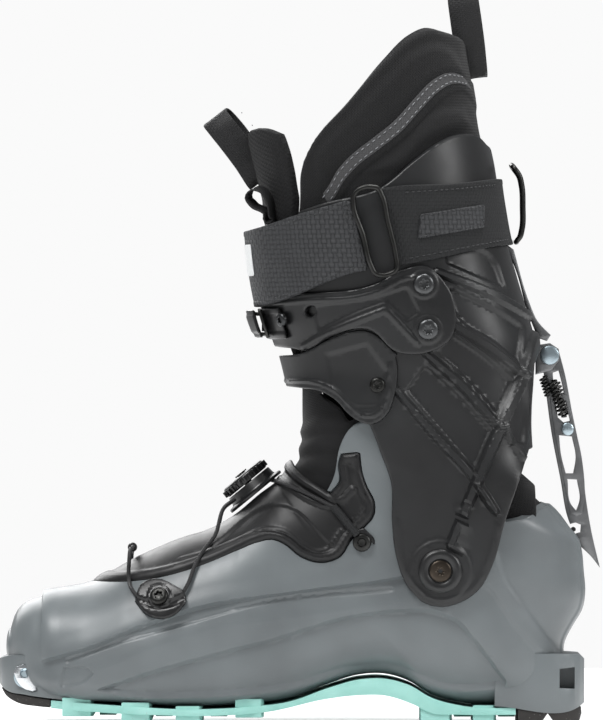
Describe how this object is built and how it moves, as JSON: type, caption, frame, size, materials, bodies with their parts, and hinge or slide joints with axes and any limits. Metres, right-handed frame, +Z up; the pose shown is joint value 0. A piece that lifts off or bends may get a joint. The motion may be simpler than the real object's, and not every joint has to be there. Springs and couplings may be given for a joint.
{
  "type": "ski touring boot",
  "caption": "Left ski-touring boot: grey shell, pivoting black cuff with buckle and strap, lace dial, rear walk lever and a light green lugged sole.",
  "frame": {"origin": "on the ground, under the centre of the boot's box", "axes": "+Z up, toe along -X, outer side of the boot along -Y"},
  "size_m": [0.2875, 0.1188, 0.3565],
  "materials": {
    "shell_grey": "satin moulded polyamide",
    "sole_mint": "light green moulded rubber",
    "rubber": "black rubber",
    "cuff_black": "fine grained black polyamide",
    "trim_black": "satin black plastic",
    "gaiter_fabric": "stretch woven",
    "liner_fabric": "foam with textile cover",
    "board_foam": "moulded insole board",
    "webbing": "woven webbing",
    "lace_cord": "braided cord",
    "bright_steel": "polished",
    "zinc_steel": "zinc plated",
    "dark_steel": "blackened",
    "lever_aluminium": "blasted and anodised"
  },
  "bodies": {
    "lower_boot": {"anchor_screw_inner": "zinc_steel", "anchor_screw_outer": "zinc_steel", "boot_board": "board_foam", "dial_base": "trim_black", "footbed": "liner_fabric", "gaiter": "gaiter_fabric", "gaiter_rear": "gaiter_fabric", "guide_rivet": "zinc_steel", "heel_insert": "bright_steel", "heel_rubber": "rubber", "heel_spine_screw": "trim_black", "instep_cover": "trim_black", "lace_front": "lace_cord", "lace_guide_inner": "trim_black", "lace_guide_outer": "trim_black", "lace_lower_inner": "lace_cord", "lace_lower_outer": "lace_cord", "lace_upper_inner": "lace_cord", "lace_upper_outer": "lace_cord", "liner_foot": "liner_fabric", "lock_pin_inner": "dark_steel", "lock_pin_outer": "dark_steel", "lower_shell": "shell_grey", "pivot_bush_inner": "trim_black", "pivot_bush_outer": "trim_black", "pivot_screw_inner": "dark_steel", "pivot_screw_outer": "dark_steel", "sole": "sole_mint", "toe_insert": "bright_steel", "toe_rubber": "rubber"},
    "cuff": {"cuff_shell": "cuff_black", "front_panel": "trim_black", "buckle_arm": "cuff_black", "ladder_arm": "cuff_black", "arm_screw_upper": "zinc_steel", "arm_screw_lower": "zinc_steel", "panel_rivet": "trim_black", "buckle_base": "trim_black", "buckle_ladder": "trim_black", "buckle_pin": "dark_steel", "buckle_screw": "zinc_steel", "strap_front": "webbing", "strap_rear": "webbing", "liner_leg": "liner_fabric", "liner_tongue": "liner_fabric", "pull_loop_front": "webbing", "pull_loop_rear": "webbing", "strap_tab": "webbing", "lock_bar": "lever_aluminium", "lock_bracket": "lever_aluminium", "lever_rivet": "zinc_steel"},
    "walk_lever": {"walk_lever": "lever_aluminium", "lever_spring": "dark_steel"},
    "buckle_lever": {"buckle_lever": "trim_black"},
    "buckle_bail": {"buckle_bail": "dark_steel"},
    "strap_ring": {"strap_ring": "dark_steel"},
    "rear_strap_ring": {"rear_strap_ring": "dark_steel"},
    "dial_stem": {"dial_stem": "dark_steel"},
    "dial_knob": {"dial_knob": "trim_black"},
    "dial_spool": {"dial_spool": "trim_black"}
  },
  "joints": [
    {"name": "cuff_lean", "type": "hinge", "parent": "lower_boot", "child": "cuff", "pos_m": [0.0659, 0, 0.0733], "axis": [0, -1, 0], "range_deg": [-16, 19]},
    {"name": "walk_lever_swing", "type": "hinge", "parent": "cuff", "child": "walk_lever", "pos_m": [0.1188, 0, 0.1758], "axis": [0, -1, 0], "range_deg": [0, 30]},
    {"name": "buckle_lever_open", "type": "hinge", "parent": "cuff", "child": "buckle_lever", "pos_m": [-0.01785, -0.024, 0.19075], "axis": [-0.2806, 0, 0.9598], "range_deg": [0, 95]},
    {"name": "buckle_bail_turn", "type": "hinge", "parent": "buckle_lever", "child": "buckle_bail", "pos_m": [-0.02081, -0.008, 0.19075], "axis": [-0.3126, 0, 0.9499], "range_deg": [0, 2.4]},
    {"name": "strap_ring_swing", "type": "hinge", "parent": "cuff", "child": "strap_ring", "pos_m": [0.041, -0.05787, 0.235], "axis": [-0.2316, 0, 0.9728], "range_deg": [0, 20]},
    {"name": "rear_ring_swing", "type": "hinge", "parent": "cuff", "child": "rear_strap_ring", "pos_m": [0.1032, 0, 0.2304], "axis": [0, 1, 0], "range_deg": [0, 15]},
    {"name": "dial_pull", "type": "slide", "parent": "lower_boot", "child": "dial_stem", "axis": [-0.6358, 0, 0.7718], "range_m": [0, 0.002]},
    {"name": "dial_turn", "type": "hinge", "parent": "dial_stem", "child": "dial_knob", "pos_m": [-0.0216, 0, 0.11], "axis": [-0.6358, 0, 0.7718], "continuous": true},
    {"name": "spool_turn", "type": "hinge", "parent": "lower_boot", "child": "dial_spool", "pos_m": [-0.0216, 0, 0.11], "axis": [-0.6358, 0, 0.7718], "continuous": true}
  ]
}
